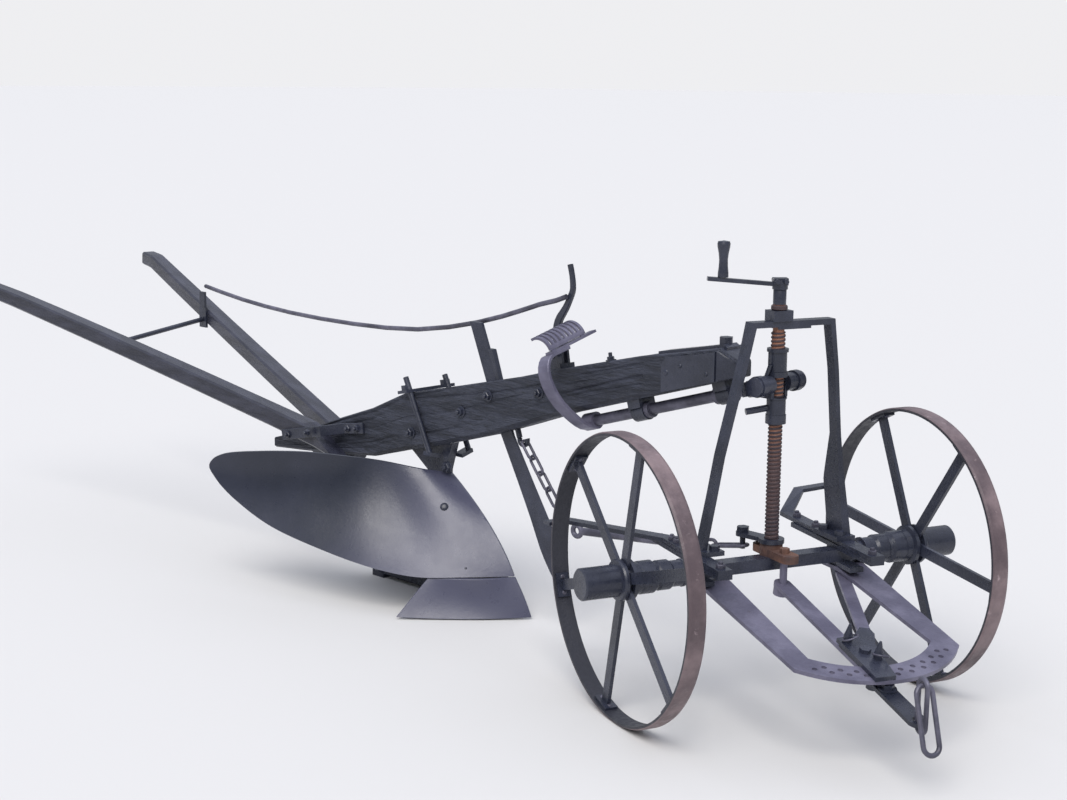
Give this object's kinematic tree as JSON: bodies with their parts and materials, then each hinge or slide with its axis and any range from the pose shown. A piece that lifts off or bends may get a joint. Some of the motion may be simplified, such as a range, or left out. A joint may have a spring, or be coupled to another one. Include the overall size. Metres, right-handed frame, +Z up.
{
  "type": "walking plough with wheeled forecarriage",
  "caption": "Horse-drawn moldboard plough: wooden beam with two handles, turned iron moldboard and knife, and a two-wheeled forecarriage with a height screw.",
  "frame": {"origin": "on the ground, under the middle of the whole machine's box", "axes": "+X forward along the beam, the way it is towed; +Y to the ploughman's left; +Z up"},
  "size_m": [3.4012, 0.9048, 0.972],
  "materials": {
    "beam_wood": "black paint on cracked, weathered wood",
    "handle_wood": "dark satin paint on smooth wood",
    "slate_paint": "satin blackish slate paint, worn at the edges",
    "mould_iron": "satin dark slate paint, a little lighter towards the front",
    "worn_iron": "paint worn to grey iron",
    "bare_iron": "dark forged iron with brown traces",
    "rusty_iron": "orange brown rust over dark iron",
    "tyre_iron": "brown purple rusty tread"
  },
  "bodies": {
    "plough": {"beam": "beam_wood", "beam_shoe": "slate_paint", "beam_strap": "slate_paint", "handle_right": "handle_wood", "handle_left": "handle_wood", "handle_crossbar": "slate_paint", "handle_straps": "slate_paint", "frog": "slate_paint", "frog_clamp": "slate_paint", "moldboard": "mould_iron", "share": "mould_iron", "landside": "slate_paint", "tail_brace": "slate_paint", "coulter": "slate_paint", "coulter_wedge": "slate_paint", "draught_hook": "slate_paint", "draught_chain": "bare_iron", "shaft_bearings": "slate_paint", "lever": "slate_paint", "lever_bracket": "slate_paint", "control_rod": "bare_iron", "latch_plate": "slate_paint"},
    "yoke": {"level_shaft": "bare_iron", "level_arm": "worn_iron", "level_comb": "worn_iron", "yoke": "slate_paint", "nut": "slate_paint", "trunnion_caps": "slate_paint"},
    "draught": {"draught_ring": "slate_paint", "draught_links": "bare_iron", "draught_rod": "bare_iron"},
    "carriage": {"axle": "slate_paint", "arch": "slate_paint", "arch_bearing": "slate_paint", "screw_foot": "rusty_iron", "clamp_right": "slate_paint", "clamp_left": "slate_paint", "scraper_right": "slate_paint", "scraper_left": "slate_paint", "quadrant": "worn_iron", "drawbar": "worn_iron", "drawbar_strut": "worn_iron", "drawbar_block": "slate_paint", "draught_pins": "slate_paint", "hitch_tongue": "slate_paint", "hitch_stirrup": "bare_iron", "hitch_link": "bare_iron"},
    "screw": {"screw": "rusty_iron", "crank_arm": "slate_paint", "crank_grip": "slate_paint"},
    "wheel_right": {"rim_right": "tyre_iron", "spokes_right": "slate_paint", "hub_right": "slate_paint"},
    "wheel_left": {"rim_left": "tyre_iron", "spokes_left": "slate_paint", "hub_left": "slate_paint"}
  },
  "joints": [
    {"name": "level", "type": "hinge", "parent": "plough", "child": "yoke", "pos_m": [0.84755, 0.0026, 0.5918], "axis": [0.9588, 0, 0.284], "range_deg": [-18, 18]},
    {"name": "depth", "type": "slide", "parent": "yoke", "child": "draught", "axis": [0, 0, 1], "range_m": [-0.034, 0.2]},
    {"name": "steer", "type": "hinge", "parent": "draught", "child": "carriage", "pos_m": [1.1352, 0.0026, 0.345], "axis": [0, 0, 1], "range_deg": [-15, 55]},
    {"name": "crank", "type": "hinge", "parent": "draught", "child": "screw", "pos_m": [1.1352, 0.0026, 0.7], "axis": [0, 0, 1], "range_deg": [-1480, 8680]},
    {"name": "wheel_right", "type": "hinge", "parent": "carriage", "child": "wheel_right", "pos_m": [1.02117, -0.33262, 0.3], "axis": [0.342, 0.9397, 0], "continuous": true},
    {"name": "wheel_left", "type": "hinge", "parent": "carriage", "child": "wheel_left", "pos_m": [1.26332, 0.33269, 0.3], "axis": [0.342, 0.9397, 0], "continuous": true}
  ],
  "couplings": [
    {"joint": "crank", "follows": "depth", "rad_per_m": 757.01}
  ]
}
